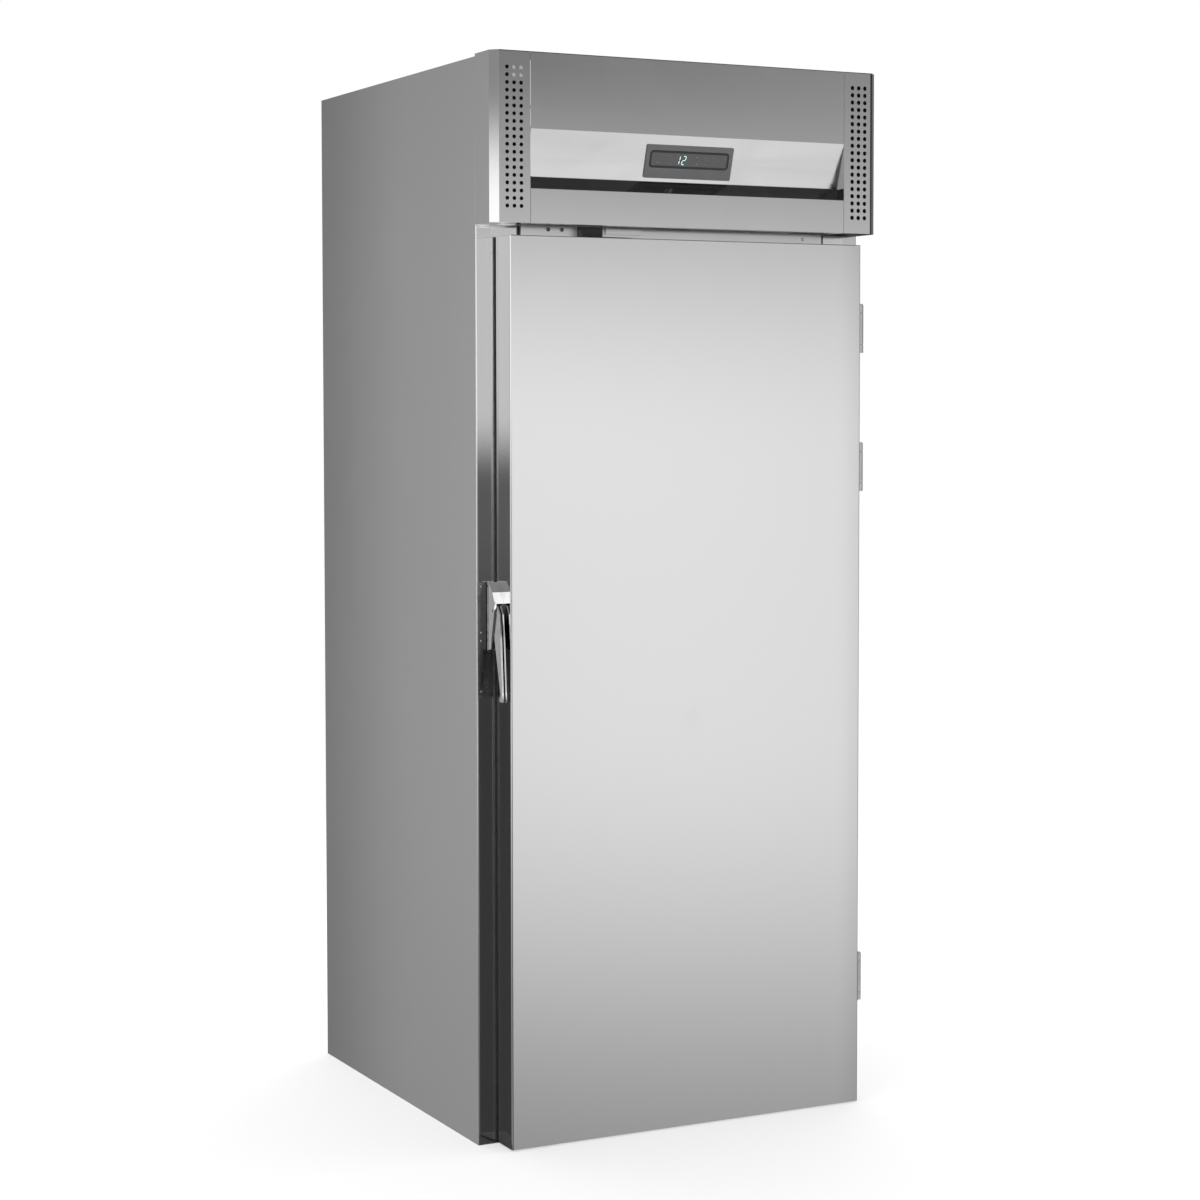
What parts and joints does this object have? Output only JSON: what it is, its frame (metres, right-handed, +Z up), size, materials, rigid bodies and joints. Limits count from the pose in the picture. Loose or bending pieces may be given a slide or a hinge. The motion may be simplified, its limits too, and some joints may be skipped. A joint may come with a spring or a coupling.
{
  "type": "roll-in chiller",
  "caption": "Tall stainless roll-in chiller with a full-height right-hinged door, edge latch, and a projecting hood with perforated ends and a sloping digital display.",
  "frame": {"origin": "on the floor, under the centre of the whole box (cabinet and hood)", "axes": "+Z up, -Y out of the door and hood, +X towards the hinge side"},
  "size_m": [0.88, 0.899, 2.15],
  "materials": {
    "side_stainless": "brushed stainless sheet, grain upright",
    "rear_stainless": "plain stainless or galvanised sheet",
    "foam": "rigid polyurethane foam",
    "liner_stainless": "smooth stainless sheet",
    "frame_stainless": "brushed stainless",
    "black_plastic": "moulded black plastic",
    "zinc_steel": "zinc-plated steel",
    "fin_aluminium": "bare aluminium fins and blades",
    "lamp_body": "white plastic",
    "lamp_diffuser": "frosted diffuser",
    "black_paint": "black enamel",
    "copper": "copper tube",
    "box_plastic": "grey plastic box",
    "hood_stainless": "brushed stainless, grain level",
    "band_gloss": "black gloss",
    "bezel": "dark grey satin",
    "display_glass": "black glass-like plastic",
    "hinge_metal": "satin stainless",
    "door_stainless": "brushed stainless, fine level grain",
    "gasket_rubber": "dark grey soft magnetic gasket",
    "latch_chrome": "polished chrome plate",
    "strike_metal": "dark satin plate"
  },
  "bodies": {
    "cabinet": {"side_panel_left": "side_stainless", "side_panel_right": "side_stainless", "back_panel": "rear_stainless", "foam_sides": "foam", "foam_back": "foam", "foam_roof": "foam", "liner_sides": "liner_stainless", "liner_back": "liner_stainless", "liner_ceiling": "liner_stainless", "front_frame": "frame_stainless", "breaker_strip": "black_plastic", "base_rails": "zinc_steel", "floor_pan": "liner_stainless", "entry_ramp": "liner_stainless", "machine_deck": "rear_stainless", "bumper_rails": "liner_stainless", "evaporator_cover": "liner_stainless", "evaporator_coil": "fin_aluminium", "evaporator_fan_frames": "black_plastic", "drain_pan": "liner_stainless", "drain_tube": "black_plastic", "lamp_housing": "lamp_body", "lamp_lens": "lamp_diffuser", "unit_base": "zinc_steel", "compressor": "black_paint", "condenser_coil": "fin_aluminium", "condenser_shroud": "black_plastic", "condenser_fan_motor": "zinc_steel", "liquid_receiver": "black_paint", "refrigerant_pipes": "copper", "electrical_box": "box_plastic", "cable_gland": "black_plastic", "rear_grille": "rear_stainless", "hood_end_left": "hood_stainless", "hood_end_right": "hood_stainless", "hood_brackets": "zinc_steel", "flap_pins": "zinc_steel", "top_rail_cover": "frame_stainless", "door_switch": "black_plastic", "hinge_frame_leaves": "hinge_metal", "hinge_pins": "zinc_steel", "strike_plate": "strike_metal", "screws": "zinc_steel"},
    "service_flap": {"service_flap": "hood_stainless", "trim_band": "band_gloss", "display_bezel": "bezel", "display_window": "display_glass", "controller_case": "black_plastic"},
    "door": {"door_shell": "door_stainless", "door_core": "foam", "door_liner": "liner_stainless", "door_gasket": "gasket_rubber", "hinge_door_leaves": "hinge_metal", "latch_body": "latch_chrome", "latch_pin": "zinc_steel"},
    "latch_lever": {"latch_lever": "latch_chrome"},
    "switch_plunger": {"switch_plunger": "black_plastic"},
    "evaporator_fan_left": {"evaporator_fan_left": "fin_aluminium"},
    "evaporator_fan_right": {"evaporator_fan_right": "fin_aluminium"},
    "condenser_fan": {"condenser_fan": "fin_aluminium"}
  },
  "joints": [
    {"name": "door_swing", "type": "hinge", "parent": "cabinet", "child": "door", "pos_m": [0.42, -0.4145, 0], "axis": [0, 0, 1], "range_deg": [0, 110], "stiffness_Nm_per_rad": 4, "springref_deg": -34.38},
    {"name": "latch_pull", "type": "hinge", "parent": "door", "child": "latch_lever", "pos_m": [-0.40975, -0.4005, 1.066], "axis": [-1, 0, 0], "range_deg": [0, 25], "stiffness_Nm_per_rad": 0.6, "springref_deg": -20.05},
    {"name": "flap_lift", "type": "hinge", "parent": "cabinet", "child": "service_flap", "pos_m": [0, -0.4295, 2.142], "axis": [-1, 0, 0], "range_deg": [0, 70]},
    {"name": "switch_press", "type": "slide", "parent": "cabinet", "child": "switch_plunger", "axis": [0, 0, 1], "range_m": [0, 0.002], "stiffness_N_per_m": 600, "springref_m": -0.003},
    {"name": "evaporator_fan_left_spin", "type": "hinge", "parent": "cabinet", "child": "evaporator_fan_left", "pos_m": [-0.165, 0.2995, 1.654], "axis": [0, 1, 0], "continuous": true},
    {"name": "evaporator_fan_right_spin", "type": "hinge", "parent": "cabinet", "child": "evaporator_fan_right", "pos_m": [0.165, 0.2995, 1.654], "axis": [0, 1, 0], "continuous": true},
    {"name": "condenser_fan_spin", "type": "hinge", "parent": "cabinet", "child": "condenser_fan", "pos_m": [0.04, -0.2745, 1.977], "axis": [0, 1, 0], "continuous": true}
  ]
}
